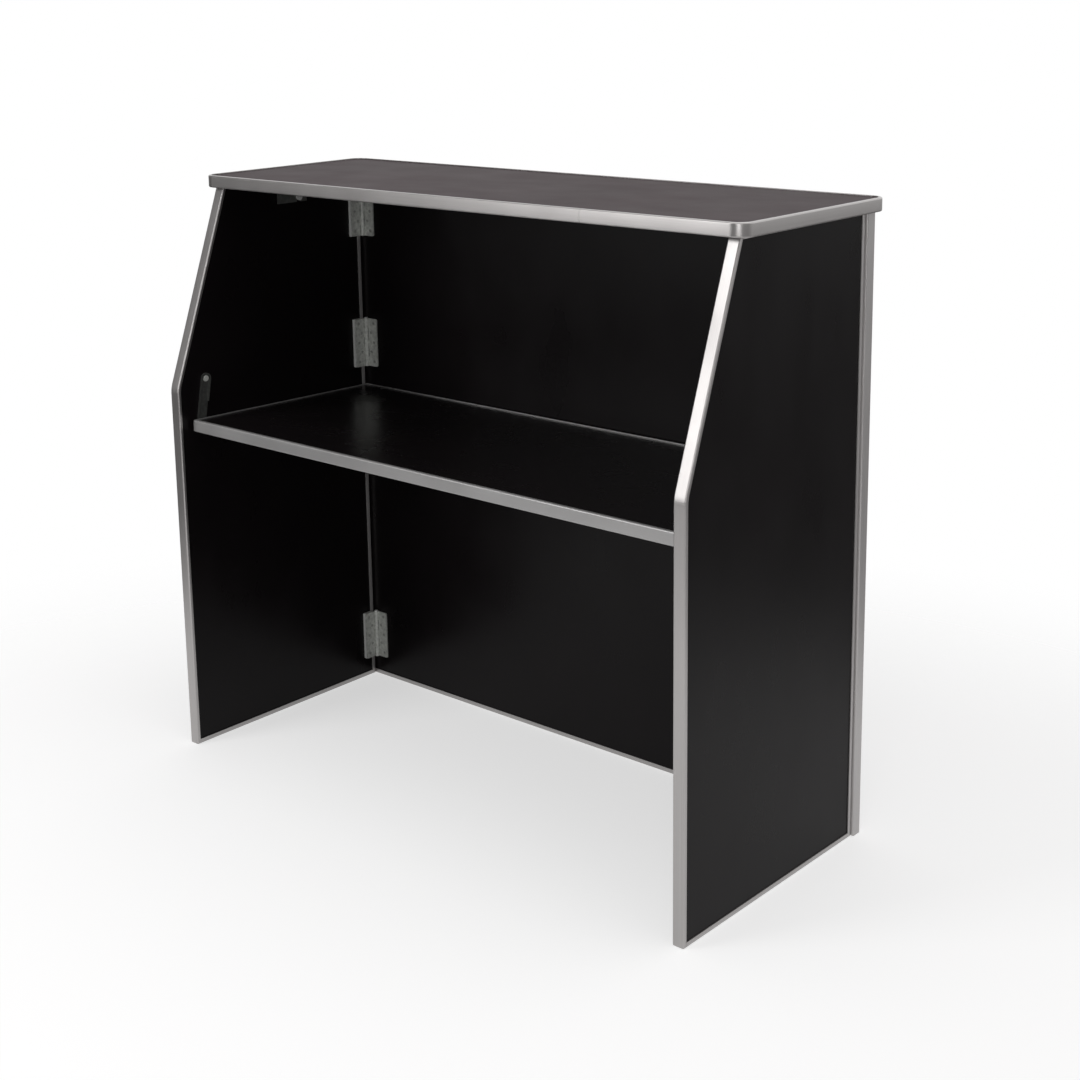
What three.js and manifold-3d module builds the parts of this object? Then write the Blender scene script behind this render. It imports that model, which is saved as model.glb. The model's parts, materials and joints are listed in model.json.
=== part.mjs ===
// Folding portable bar: a front panel with two hinged side panels, a lift-off counter and a lift-out shelf.
// Millimetres. +X is to the right of the person serving, +Y points to the guests, +Z is up.

import * as THREE from "three";
import { mergeVertices } from "three/addons/utils/BufferGeometryUtils.js";
import Module from "manifold-3d";

const wasm = await Module();
wasm.setup();

// Boards and their edge trim
const BOARD = 19; // laminated board
const TRIM_WALL = 1.6; // wall of the U-shaped edge trim
const TRIM_LIP = 9; // how far a straight trim reaches over a board's face
const BENT_LIP = 6; // the same for a trim that is bent round corners
const HEAD_LIP = 3.5; // the same at a side panel's top edge, under the counter
const TRIM_ROUND = 2.6; // round on the trim's outer edges
const FIT = 0.3; // clearance between pieces that touch

// Panels
const FRONT_WIDTH = 1208; // front panel over its trims
const PANEL_HEIGHT = 1081; // front and side panels over their trims
const SIDE_DEPTH = 482; // side panel at its foot, over its trims
const SIDE_INSET = 4; // side panel's outer face, in from the front panel's end
const BUTT_GAP = 1; // between a side panel's rear edge and the front panel
const ELBOW_HEIGHT = 713; // where the side panel's front edge starts to lean back
const ELBOW_RADIUS = 60;
const TOP_SETBACK = 133; // how far the front edge has leaned back at the counter

// Counter
const COUNTER_SETBACK = 116; // front edge behind the side panels' front edge
const COUNTER_RADIUS = 28;
const COUNTER_OVERHANG = 16; // past the front panel, on the guests' side
const COUNTER_END_OVERHANG = 14; // past the front panel's ends
const SEAM_GAP = 0.5; // between the ends of a bent trim
const COUNTER_SEAM_INSET = 310; // from the counter's right end to the seam in its trim

// Shelf
const SHELF_HEIGHT = 651; // top face above the floor, over the studs
const SHELF_SETBACK = 25; // front edge behind the side panels' front edge
const SHELF_FALL = 9; // how much lower the rear edge sits than the studs
const SHELF_END_GAP = 6; // between a shelf end and the side panel's trim face
const SHELF_REAR_GAP = 4; // between the shelf and the front panel's board
const SHELF_RADIUS = 4;
const LEDGE_LENGTH = 60;
const LEDGE_REACH = 14; // how far a rear ledge stands out from the front panel
const LEDGE_DROP = 25;
const LEDGE_WALL = 2.5;
const LEDGE_INSET = 184; // outer ledges' middles, in from the front panel's ends

// Corner hinges
const HINGE_HEIGHT = 100;
const HINGE_FOOT_MARGIN = 42; // below the bottom hinge
const HINGE_HEAD_MARGIN = 30; // above the top hinge
const HINGE_SHELF_MARGIN = 28; // from the shelf to the middle hinge
const LEAF_WIDTH = 28; // from the pin to the leaf's free edge
const LEAF_WALL = 2.5;
const LEAF_ROUND = 3;
const KNUCKLE_RADIUS = 4.5;
const KNUCKLE_COUNT = 5;
const PIN_RADIUS = 2.5;
const PIN_HEAD_RADIUS = 3.8;
const PIN_HEAD_HEIGHT = 2;
const PACKER_WALL = 6; // lifts the side leaf over the side panel's rear trim
const SCREW_ROWS = 5;
const SCREW_MARGIN = 10; // from a leaf's ends to its end screws
const SCREW_INSET = 9; // from a leaf's free edge to its outer screws
const SCREW_STAGGER = 8; // from the outer to the inner screws
const SCREW_RADIUS = 1.9;
const SCREW_SINK_RADIUS = 3.4;

// Hook arms that carry the shelf's front corners
const ARM_PIVOT_Y = 66;
const ARM_PIVOT_RISE = 73; // above the shelf's top face
const ARM_WIDTH = 21;
const ARM_WALL = 1.6;
const ARM_DEPTH = 5.5; // from the web's back to the flange's edge
const ARM_MOUTH_TOP = 43; // below the pivot, where the rear flange stops
const PIVOT_RADIUS = 3;
const PIVOT_HEAD_RADIUS = 6.5;
const PIVOT_HEAD_HEIGHT = 2.5;
const PIVOT_ROOT = 12; // length inside the board
const STUD_RADIUS = 4;
const STUD_SETBACK = 26; // stud's axis behind the shelf's front edge
const STUD_ROOT = 24; // length inside the shelf
const STUD_WEB_GAP = 2.1; // from the stud's end to the arm's web

// Cleats that locate the counter between the side panels
const CLEAT_LENGTH = 74;
const CLEAT_CENTRE_Y = 299;
const CLEAT_DROP = 45;
const CLEAT_WIDTH = 36;
const CLEAT_WALL = 3;
const CLEAT_GAP = 1.5; // between the cleat and the side panel's trim face
const KEEPER_Y = 315;
const KEEPER_RISE = 10; // keeper's axis above the cleat's lower edge
const KEEPER_RADIUS = 4;
const KEEPER_HEAD_RADIUS = 7;
const KEEPER_HEAD_HEIGHT = 3;
const KEEPER_ROOT = 12;
const KEEPER_SLOT_PLAY = 0.6; // around the keeper in the cleat's slot

// Facets of round forms
const PIN_SIDES = 16;
const SCREW_SIDES = 12;
const WIDE_ARC_STEPS = 8;
const SMALL_ARC_STEPS = 3;

// Sizes that follow
const SHEET = BOARD + 2 * (FIT + TRIM_WALL); // a board over its trim
const RECESS = (SHEET - BOARD) / 2; // from the trim's face to the board's face
const SIDE_INNER_X = FRONT_WIDTH / 2 - SIDE_INSET - SHEET; // trim face
const SIDE_BOARD_X = SIDE_INNER_X + RECESS; // board's inner face
const FRONT_INNER_Y = SIDE_DEPTH + BUTT_GAP; // trim face
const FRONT_BOARD_Y = FRONT_INNER_Y + RECESS; // board's inner face
const COUNTER_REAR_Y = FRONT_INNER_Y + SHEET + COUNTER_OVERHANG;
const COUNTER_HALF = FRONT_WIDTH / 2 + COUNTER_END_OVERHANG;
const COUNTER_BOTTOM = PANEL_HEIGHT + FIT;
const PIN_X = SIDE_BOARD_X - 2 * FIT - PACKER_WALL - KNUCKLE_RADIUS;
const PIN_Y = FRONT_BOARD_Y - FIT - KNUCKLE_RADIUS;
const SHELF_HALF = SIDE_INNER_X - SHELF_END_GAP;
const SHELF_REAR_Y = FRONT_BOARD_Y - SHELF_REAR_GAP;
const STUD_Y = SHELF_SETBACK + STUD_SETBACK;
const STUD_Z = SHELF_HEIGHT - SHEET / 2;
const SHELF_REACH = SHELF_REAR_Y - STUD_Y; // from the studs to the rear edge
const SHELF_TILT = Math.asin(SHELF_FALL / SHELF_REACH);
const ARM_PIVOT_Z = SHELF_HEIGHT + ARM_PIVOT_RISE;
const ARM_REACH = Math.hypot(ARM_PIVOT_Y - STUD_Y, ARM_PIVOT_Z - STUD_Z);
const ARM_LEAN = Math.atan2(ARM_PIVOT_Y - STUD_Y, ARM_PIVOT_Z - STUD_Z);
const CLEAT_TOP = COUNTER_BOTTOM + RECESS - FIT;
const CLEAT_BOTTOM = COUNTER_BOTTOM - CLEAT_DROP;
const KEEPER_Z = CLEAT_BOTTOM + KEEPER_RISE;
const CLEAT_OUTER_X = SIDE_INNER_X - CLEAT_GAP;
const HINGE_BOTTOMS = {
  bottom: HINGE_FOOT_MARGIN,
  middle: SHELF_HEIGHT + HINGE_SHELF_MARGIN,
  top: PANEL_HEIGHT - HINGE_HEAD_MARGIN - HINGE_HEIGHT,
};

// Finishes
const laminate = { color: 0x1d1a1b, roughness: 0.32, metalness: 0 };
const aluminium = { color: 0xb9b7b5, roughness: 0.34, metalness: 1 };
const zinc = { color: 0x9a9c98, roughness: 0.45, metalness: 1 };
const brightSteel = { color: 0xc2c2c0, roughness: 0.3, metalness: 1 };

const X = new THREE.Vector3(1, 0, 0);
const Y = new THREE.Vector3(0, 1, 0);
const Z = new THREE.Vector3(0, 0, 1);

/** A closed three.js geometry as a solid that can be cut and joined. */
function solid(geometry) {
  const bare = new THREE.BufferGeometry();
  const source = geometry.index ? geometry.toNonIndexed() : geometry;
  bare.setAttribute("position", source.getAttribute("position"));
  const merged = mergeVertices(bare, 1e-4);
  return new wasm.Manifold(
    new wasm.Mesh({
      numProp: 3,
      vertProperties: merged.attributes.position.array,
      triVerts: new Uint32Array(merged.index.array),
    }),
  );
}

/** A named mesh of one solid. */
function piece(name, body, finish) {
  const cut = body.getMesh();
  const geometry = new THREE.BufferGeometry();
  geometry.setAttribute("position", new THREE.BufferAttribute(cut.vertProperties, 3));
  geometry.setIndex(new THREE.BufferAttribute(cut.triVerts, 1));
  const flat = geometry.toNonIndexed();
  flat.computeVertexNormals();
  const mesh = new THREE.Mesh(flat, new THREE.MeshStandardMaterial(finish));
  mesh.name = name;
  return mesh;
}

/** A box between two corners. */
function block([x0, y0, z0], [x1, y1, z1]) {
  const box = new THREE.BoxGeometry(Math.abs(x1 - x0), Math.abs(y1 - y0), Math.abs(z1 - z0));
  return solid(box.translate((x0 + x1) / 2, (y0 + y1) / 2, (z0 + z1) / 2));
}

/** A rod along local Z; profile is [radius, height] pairs from its lower to its upper end. */
function turned(profile, sides) {
  const points = profile.map(([radius, height]) => new THREE.Vector2(radius, height));
  return solid(new THREE.LatheGeometry(points, sides).rotateX(Math.PI / 2));
}

/** A plain round rod along local Z, or a cone where the two radii differ. */
function rod(radius, from, to, sides, upperRadius = radius) {
  return turned([[0, from], [radius, from], [upperRadius, to], [0, to]], sides);
}

/** A group whose local axes point along the given world directions. */
function framed(position, localX, localY) {
  const group = new THREE.Group();
  const localZ = new THREE.Vector3().crossVectors(localX, localY);
  group.quaternion.setFromRotationMatrix(new THREE.Matrix4().makeBasis(localX, localY, localZ));
  group.position.set(...position);
  return group;
}

/** Points on an arc, both ends included. */
function arc(centre, radius, from, sweep, steps) {
  return Array.from({ length: steps + 1 }, (_, k) => {
    const angle = from + (sweep * k) / steps;
    return new THREE.Vector2(radius, 0).rotateAround(new THREE.Vector2(), angle).add(centre);
  });
}

/**
 * A convex outline with its edges moved in and its corners rounded.
 * Corners run counter-clockwise as [x, y, radius]; edge i starts at corner i.
 * The inset is one number, or one for each edge; a corner between unlike insets stays sharp.
 */
function outline(corners, inset) {
  const count = corners.length;
  const edges = corners.map(([x, y], i) => {
    const [nextX, nextY] = corners[(i + 1) % count];
    const along = new THREE.Vector2(nextX - x, nextY - y).normalize();
    const inward = new THREE.Vector2(-along.y, along.x);
    const move = Array.isArray(inset) ? inset[i] : inset;
    return { along, inward, move, start: new THREE.Vector2(x, y).addScaledVector(inward, move) };
  });
  return corners.flatMap(([, , radius], i) => {
    const before = edges[(i + count - 1) % count];
    const after = edges[i];
    const turn = Math.asin(before.along.cross(after.along));
    const gap = after.start.clone().sub(before.start);
    const run = gap.cross(after.along) / before.along.cross(after.along);
    const corner = before.start.clone().addScaledVector(before.along, run);
    const round = before.move === after.move ? radius - before.move : 0;
    if (round <= FIT) return [corner];
    const centre = corner
      .addScaledVector(before.along, -round * Math.tan(turn / 2))
      .addScaledVector(before.inward, round);
    const from = Math.atan2(-before.inward.y, -before.inward.x);
    const steps = radius > TRIM_LIP ? WIDE_ARC_STEPS : SMALL_ARC_STEPS;
    return arc(centre, round, from, turn, steps);
  });
}

/** A plate with the given outline, its thickness centred on local Z. */
function plate(points, thickness) {
  const geometry = new THREE.ExtrudeGeometry(new THREE.Shape(points), {
    depth: thickness,
    bevelEnabled: false,
  });
  return solid(geometry.translate(0, 0, -thickness / 2));
}

/** The board inside a trimmed panel, in the panel's own plane. */
function boardSolid(corners) {
  return plate(outline(corners, TRIM_WALL + FIT), BOARD);
}

/** The U-shaped trim right round a panel; lips is one reach over the board's faces, or one for each edge. */
function trimRing(corners, lips) {
  const depth = SHEET - 2 * TRIM_ROUND;
  const envelope = new THREE.ExtrudeGeometry(new THREE.Shape(outline(corners, 0)), {
    depth,
    bevelThickness: TRIM_ROUND,
    bevelSize: TRIM_ROUND,
    bevelOffset: -TRIM_ROUND,
    bevelSegments: SMALL_ARC_STEPS,
  });
  const opening = plate(outline(corners, lips), 2 * SHEET);
  const slot = plate(outline(corners, TRIM_WALL), BOARD + 2 * FIT);
  return solid(envelope.translate(0, 0, -depth / 2)).subtract(opening).subtract(slot);
}

/** The part of a trim ring inside, or outside, a window whose edges are moved in as listed. */
function windowed(ring, corners, insets, keepInside) {
  const pane = plate(outline(corners, insets), 2 * SHEET);
  return keepInside ? ring.intersect(pane) : ring.subtract(pane);
}

/** A panel's trims: two uprights over the full height, and the head and foot strips between them. */
function panelTrims(corners, lips, uprights) {
  const ring = trimRing(corners, lips);
  const insets = (edges, gap) => lips.map((lip, i) => (edges.includes(i) ? lip + gap : -SHEET));
  const strips = windowed(ring, corners, insets(uprights.flat(), FIT), true);
  const lowerHalf = block([-FRONT_WIDTH, -SHEET, -SHEET], [FRONT_WIDTH, PANEL_HEIGHT / 2, SHEET]);
  return {
    uprights: uprights.map((edges) => windowed(ring, corners, insets(edges, 0), false)),
    head: strips.subtract(lowerHalf),
    foot: strips.intersect(lowerHalf),
  };
}

/** A board with one band of trim bent round its corners, the band's ends meeting at a seam. */
function bandedBoard(name, corners, seamX, seamY) {
  const seam = block([seamX, seamY - BENT_LIP - FIT, -SHEET], [seamX + SEAM_GAP, seamY + BENT_LIP + FIT, SHEET]);
  return {
    board: boardSolid(corners),
    trim: trimRing(corners, BENT_LIP).subtract(seam),
    names: [`${name}_board`, `${name}_trim`],
  };
}

/** Corners of an upright-sided rectangle, counter-clockwise. */
function rectangle(x0, y0, x1, y1, radius) {
  return [[x0, y0, radius], [x1, y0, radius], [x1, y1, radius], [x0, y1, radius]];
}

/** Front panel, seen in local x and height. */
function frontPanel() {
  const corners = rectangle(-FRONT_WIDTH / 2, 0, FRONT_WIDTH / 2, PANEL_HEIGHT, 0);
  const group = framed([0, FRONT_INNER_Y + SHEET / 2, 0], X, Z);
  const trims = panelTrims(corners, corners.map(() => TRIM_LIP), [[3], [1]]);
  group.add(
    piece("front_board", boardSolid(corners), laminate),
    piece("front_trim_left", trims.uprights[0], aluminium),
    piece("front_trim_right", trims.uprights[1], aluminium),
    piece("front_trim_top", trims.head, aluminium),
    piece("front_trim_bottom", trims.foot, aluminium),
  );
  return group;
}

/** Side panel: local x runs from its front edge to the rear, local y is height, local z is world X. */
function sidePanel(side, sign) {
  const corners = [
    [0, 0, 0],
    [SIDE_DEPTH, 0, 0],
    [SIDE_DEPTH, PANEL_HEIGHT, 0],
    [TOP_SETBACK, PANEL_HEIGHT, 0],
    [0, ELBOW_HEIGHT, ELBOW_RADIUS],
  ];
  const lips = [TRIM_LIP, TRIM_LIP, HEAD_LIP, BENT_LIP, BENT_LIP];
  const group = framed([sign * (SIDE_BOARD_X + BOARD / 2), 0, 0], Y, Z);
  const trims = panelTrims(corners, lips, [[3, 4], [1]]);
  const hole = (radius, root, y, z) => {
    const depth = [-sign * (BOARD / 2 + FIT), -sign * (BOARD / 2 - root - FIT)].sort((a, b) => a - b);
    return rod(radius + FIT, ...depth, PIN_SIDES).translate(y, z, 0);
  };
  const board = boardSolid(corners)
    .subtract(hole(PIVOT_RADIUS, PIVOT_ROOT, ARM_PIVOT_Y, ARM_PIVOT_Z))
    .subtract(hole(KEEPER_RADIUS, KEEPER_ROOT, KEEPER_Y, KEEPER_Z));
  group.add(
    piece(`${side}_board`, board, laminate),
    piece(`${side}_trim_front`, trims.uprights[0], aluminium),
    piece(`${side}_trim_rear`, trims.uprights[1], aluminium),
    piece(`${side}_trim_top`, trims.head, aluminium),
    piece(`${side}_trim_bottom`, trims.foot, aluminium),
  );
  return group;
}

/** Counter top with its bent band of trim. */
function counter() {
  const corners = rectangle(-COUNTER_HALF, COUNTER_SETBACK, COUNTER_HALF, COUNTER_REAR_Y, COUNTER_RADIUS);
  const made = bandedBoard("counter", corners, COUNTER_HALF - COUNTER_SEAM_INSET, COUNTER_SETBACK);
  const group = new THREE.Group();
  group.position.z = COUNTER_BOTTOM + SHEET / 2;
  group.add(piece(made.names[0], made.board, laminate), piece(made.names[1], made.trim, aluminium));
  return group;
}

/** Shelf with its bent band of trim, bored at each end for a stud, and turned a little about the studs' axis. */
function shelf() {
  const corners = rectangle(-SHELF_HALF, -STUD_SETBACK, SHELF_HALF, SHELF_REACH, SHELF_RADIUS);
  const made = bandedBoard("shelf", corners, 0, SHELF_REACH);
  const bores = [-1, 1].map((sign) => {
    const ends = [SHELF_HALF - STUD_ROOT - FIT, SHELF_HALF + FIT];
    const bore = rod(STUD_RADIUS + FIT, ...ends, PIN_SIDES);
    return bore.rotate([0, sign * 90, 0]);
  });
  const bored = (body) => bores.reduce((rest, bore) => rest.subtract(bore), body);
  const group = new THREE.Group();
  group.position.set(0, STUD_Y, STUD_Z);
  group.rotation.x = -SHELF_TILT;
  group.add(
    piece(made.names[0], bored(made.board), laminate),
    piece(made.names[1], bored(made.trim), aluminium),
  );
  return group;
}

/** Pressed angle that carries the shelf's rear edge on the front panel. */
function ledge(name, x) {
  const rear = FRONT_BOARD_Y - FIT;
  const top = STUD_Z - SHEET / 2 - SHELF_FALL - FIT;
  const profile = new THREE.Shape([
    new THREE.Vector2(rear, top),
    new THREE.Vector2(rear - LEDGE_REACH, top),
    new THREE.Vector2(rear - LEDGE_REACH, top - LEDGE_WALL),
    new THREE.Vector2(rear - LEDGE_WALL, top - LEDGE_WALL),
    new THREE.Vector2(rear - LEDGE_WALL, top - LEDGE_DROP),
    new THREE.Vector2(rear, top - LEDGE_DROP),
  ]);
  const angle = new THREE.ExtrudeGeometry(profile, { depth: LEDGE_LENGTH, bevelEnabled: false });
  const group = framed([x - LEDGE_LENGTH / 2, 0, 0], Y, Z);
  group.add(piece(name, solid(angle), zinc));
  return group;
}

/**
 * One leaf of a butt hinge. The pin lies on local Z and the leaf reaches along local +X;
 * its back is level with the knuckles' backs. Knuckles alternate, and first is 0 or 1.
 */
function hingeLeaf(first) {
  const half = HINGE_HEIGHT / 2;
  const back = -KNUCKLE_RADIUS;
  const corners = [
    [0, -half, 0],
    [LEAF_WIDTH, -half, LEAF_ROUND],
    [LEAF_WIDTH, half, LEAF_ROUND],
    [0, half, 0],
  ];
  const slot = HINGE_HEIGHT / KNUCKLE_COUNT;
  let leaf = plate(outline(corners, 0), LEAF_WALL).rotate([90, 0, 0]).translate(0, back + LEAF_WALL / 2, 0);
  for (let k = first; k < KNUCKLE_COUNT; k += 2) {
    const from = -half + k * slot;
    const lower = k === 0 ? from : from + FIT / 2;
    const upper = k === KNUCKLE_COUNT - 1 ? from + slot : from + slot - FIT / 2;
    leaf = leaf.add(rod(KNUCKLE_RADIUS, lower, upper, PIN_SIDES));
  }
  for (let k = 1 - first; k < KNUCKLE_COUNT; k += 2) {
    const from = -half + k * slot - FIT / 2;
    const reach = KNUCKLE_RADIUS + FIT;
    leaf = leaf.subtract(block([-reach, -reach, from], [reach, reach, from + slot + FIT]));
  }
  for (let row = 0; row < SCREW_ROWS; row += 1) {
    const height = -half + SCREW_MARGIN + (row * (HINGE_HEIGHT - 2 * SCREW_MARGIN)) / (SCREW_ROWS - 1);
    const reach = LEAF_WIDTH - SCREW_INSET - (row % 2) * SCREW_STAGGER;
    const sink = rod(SCREW_RADIUS, 0, LEAF_WALL, SCREW_SIDES, SCREW_SINK_RADIUS);
    leaf = leaf.subtract(sink.rotate([-90, 0, 0]).translate(reach, back, height));
  }
  return leaf.subtract(rod(PIN_RADIUS + FIT, -half - FIT, half + FIT, PIN_SIDES));
}

/** A corner hinge: leaf on the front panel, leaf on a packer on the side panel, and its pin. */
function cornerHinge(side, sign, place, bottom) {
  const centre = [sign * PIN_X, PIN_Y, bottom + HINGE_HEIGHT / 2];
  const inward = X.clone().multiplyScalar(-sign);
  const forward = Y.clone().negate();
  const group = new THREE.Group();
  const frontLeaf = framed(centre, inward, forward);
  frontLeaf.add(piece(`${side}_${place}_hinge_front_leaf`, hingeLeaf(0), zinc));
  const sideLeaf = framed(centre, forward, inward);
  sideLeaf.add(piece(`${side}_${place}_hinge_side_leaf`, hingeLeaf(1), zinc));
  const half = HINGE_HEIGHT / 2;
  const pin = turned(
    [
      [0, -half],
      [PIN_RADIUS, -half],
      [PIN_RADIUS, half + FIT],
      [PIN_HEAD_RADIUS, half + FIT],
      [PIN_HEAD_RADIUS, half + FIT + PIN_HEAD_HEIGHT],
      [0, half + FIT + PIN_HEAD_HEIGHT],
    ],
    PIN_SIDES,
  );
  const pinGroup = framed(centre, X, Y);
  pinGroup.add(piece(`${side}_${place}_hinge_pin`, pin, brightSteel));
  const outer = sign * (SIDE_BOARD_X - FIT);
  const packer = block(
    [outer, SIDE_DEPTH - TRIM_LIP - FIT, bottom],
    [outer - sign * PACKER_WALL, PIN_Y - LEAF_WIDTH, bottom + HINGE_HEIGHT],
  );
  group.add(frontLeaf, sideLeaf, pinGroup, piece(`${side}_${place}_hinge_packer`, packer, zinc));
  return group;
}

/** Outline of a hook arm in its own plane, moved in by inset: pivot at the origin, arm hanging down. */
function armOutline(inset) {
  const half = ARM_WIDTH / 2 - inset;
  const reach = ARM_REACH + STUD_RADIUS + FIT + ARM_WALL - inset;
  const spread = Math.asin(half / reach);
  const origin = new THREE.Vector2();
  return [
    ...arc(origin, half, 0, Math.PI, WIDE_ARC_STEPS),
    ...arc(origin, reach, -Math.PI / 2 - spread, 2 * spread, SMALL_ARC_STEPS + 1),
  ];
}

/** Hook arm: a pressed tray that swings on the side panel and holds the shelf's stud in its foot. */
function hookArm(side, sign) {
  const lean = new THREE.Quaternion().setFromAxisAngle(X, -ARM_LEAN);
  const rearward = Y.clone().applyQuaternion(lean).multiplyScalar(-sign);
  const upward = Z.clone().applyQuaternion(lean);
  const group = framed([sign * (SIDE_BOARD_X - FIT), ARM_PIVOT_Y, ARM_PIVOT_Z], rearward, upward);
  const half = ARM_WIDTH / 2;
  const body = plate(armOutline(0), ARM_DEPTH).translate(0, 0, ARM_DEPTH / 2);
  const hollow = plate(armOutline(ARM_WALL), ARM_DEPTH).translate(0, 0, ARM_DEPTH / 2 + ARM_WALL);
  const mouth = block(
    [-sign * (half - ARM_WALL - FIT), -ARM_MOUTH_TOP, ARM_WALL],
    [-sign * (half + ARM_WALL), -ARM_REACH - STUD_RADIUS - FIT, ARM_DEPTH + FIT],
  );
  const eye = rod(PIVOT_RADIUS + FIT, -FIT, ARM_WALL + FIT, PIN_SIDES);
  const headFrom = ARM_WALL + FIT;
  const pivot = turned(
    [
      [0, -FIT - PIVOT_ROOT],
      [PIVOT_RADIUS, -FIT - PIVOT_ROOT],
      [PIVOT_RADIUS, headFrom],
      [PIVOT_HEAD_RADIUS, headFrom],
      [PIVOT_HEAD_RADIUS - PIVOT_HEAD_HEIGHT / 2, headFrom + PIVOT_HEAD_HEIGHT],
      [0, headFrom + PIVOT_HEAD_HEIGHT],
    ],
    PIN_SIDES,
  );
  group.add(
    piece(`${side}_hook_arm`, body.subtract(hollow).subtract(mouth).subtract(eye), zinc),
    piece(`${side}_arm_pivot`, pivot, brightSteel),
  );
  return group;
}

/** Stud in the shelf's end, which hangs in the hook arm's foot. */
function shelfStud(side, sign) {
  const tip = SIDE_BOARD_X - FIT - ARM_WALL - STUD_WEB_GAP;
  const outward = Y.clone();
  const group = framed([0, STUD_Y, STUD_Z], outward, Z.clone().multiplyScalar(sign));
  group.add(piece(`${side}_shelf_stud`, rod(STUD_RADIUS, SHELF_HALF - STUD_ROOT, tip, PIN_SIDES), brightSteel));
  return group;
}

/** Angle cleat under the counter, slotted from below to drop over the side panel's keeper. */
function cleat(side, sign) {
  const rear = CLEAT_CENTRE_Y + CLEAT_LENGTH / 2;
  const front = CLEAT_CENTRE_Y - CLEAT_LENGTH / 2;
  const outer = sign * CLEAT_OUTER_X;
  const flange = block([outer, front, CLEAT_TOP - CLEAT_WALL], [outer - sign * CLEAT_WIDTH, rear, CLEAT_TOP]);
  const leg = block([outer, front, CLEAT_BOTTOM], [outer - sign * CLEAT_WALL, rear, CLEAT_TOP]);
  const slotHalf = KEEPER_RADIUS + KEEPER_SLOT_PLAY;
  const slotEnd = rod(slotHalf, -CLEAT_WALL - FIT, CLEAT_WALL + FIT, PIN_SIDES).rotate([0, 90, 0]);
  const slot = block(
    [outer + sign * FIT, KEEPER_Y - slotHalf, CLEAT_BOTTOM - FIT],
    [outer - sign * (CLEAT_WALL + FIT), KEEPER_Y + slotHalf, KEEPER_Z],
  ).add(slotEnd.translate(outer, KEEPER_Y, KEEPER_Z));
  return piece(`${side}_counter_cleat`, flange.add(leg).subtract(slot), zinc);
}

/** Headed stud on the side panel that the cleat's slot drops over. */
function keeper(side, sign) {
  const head = SIDE_BOARD_X - CLEAT_OUTER_X + CLEAT_WALL + KEEPER_SLOT_PLAY;
  const group = framed([sign * SIDE_BOARD_X, KEEPER_Y, KEEPER_Z], Y, Z.clone().multiplyScalar(-sign));
  const body = turned(
    [
      [0, -KEEPER_ROOT],
      [KEEPER_RADIUS, -KEEPER_ROOT],
      [KEEPER_RADIUS, head],
      [KEEPER_HEAD_RADIUS, head],
      [KEEPER_HEAD_RADIUS, head + KEEPER_HEAD_HEIGHT],
      [0, head + KEEPER_HEAD_HEIGHT],
    ],
    PIN_SIDES,
  );
  group.add(piece(`${side}_keeper`, body, brightSteel));
  return group;
}

const bar = new THREE.Group();
bar.name = "folding_bar";
bar.position.y = -COUNTER_REAR_Y / 2;
bar.add(frontPanel(), counter(), shelf());
["left", "middle", "right"].forEach((place, k) => {
  bar.add(ledge(`shelf_ledge_${place}`, (k - 1) * (FRONT_WIDTH / 2 - LEDGE_INSET)));
});
for (const [side, sign] of [["left", -1], ["right", 1]]) {
  bar.add(sidePanel(side, sign), hookArm(side, sign), shelfStud(side, sign));
  bar.add(cleat(side, sign), keeper(side, sign));
  for (const [place, bottom] of Object.entries(HINGE_BOTTOMS)) {
    bar.add(cornerHinge(side, sign, place, bottom));
  }
}

export default bar;
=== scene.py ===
"""Dresses the folding portable bar: dark laminate boards, satin edge trims, plated hinges and fittings."""
import json
import logging
import math
from collections.abc import Callable, Sequence
from dataclasses import astuple, dataclass
from enum import Enum, IntEnum

import bmesh
import bpy
from mathutils import Matrix, Vector

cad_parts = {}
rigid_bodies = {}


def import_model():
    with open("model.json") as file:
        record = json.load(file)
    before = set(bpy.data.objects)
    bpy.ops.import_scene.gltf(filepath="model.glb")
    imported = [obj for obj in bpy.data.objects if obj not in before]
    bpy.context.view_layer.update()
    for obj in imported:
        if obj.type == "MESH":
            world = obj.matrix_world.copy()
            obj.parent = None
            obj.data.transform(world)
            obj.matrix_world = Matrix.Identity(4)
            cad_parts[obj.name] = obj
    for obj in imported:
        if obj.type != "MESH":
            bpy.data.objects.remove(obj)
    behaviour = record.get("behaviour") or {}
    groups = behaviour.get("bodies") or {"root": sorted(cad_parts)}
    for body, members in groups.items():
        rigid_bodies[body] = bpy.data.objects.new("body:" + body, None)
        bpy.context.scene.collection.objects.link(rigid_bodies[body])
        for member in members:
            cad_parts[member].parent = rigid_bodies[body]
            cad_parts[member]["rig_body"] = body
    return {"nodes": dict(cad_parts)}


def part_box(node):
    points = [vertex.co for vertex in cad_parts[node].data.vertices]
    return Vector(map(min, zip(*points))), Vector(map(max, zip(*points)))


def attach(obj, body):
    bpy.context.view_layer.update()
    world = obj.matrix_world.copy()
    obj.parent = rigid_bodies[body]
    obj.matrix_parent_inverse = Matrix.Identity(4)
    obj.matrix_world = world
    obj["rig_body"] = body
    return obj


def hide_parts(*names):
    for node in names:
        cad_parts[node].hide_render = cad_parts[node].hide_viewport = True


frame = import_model()

LOG = logging.getLogger("portable_bar")
MM = 0.001
RUN_MAP = "run"
FACING = "facing"
QUARTER_TURN = math.pi / 2
WHITE = (1.0, 1.0, 1.0)

Colour = tuple[float, float, float]
Place = tuple[float, float, float]
Span = tuple[float, float]
Seat = tuple[Place, Place]
Run = Callable[[Vector], Span]
Socket = bpy.types.NodeSocket


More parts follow.
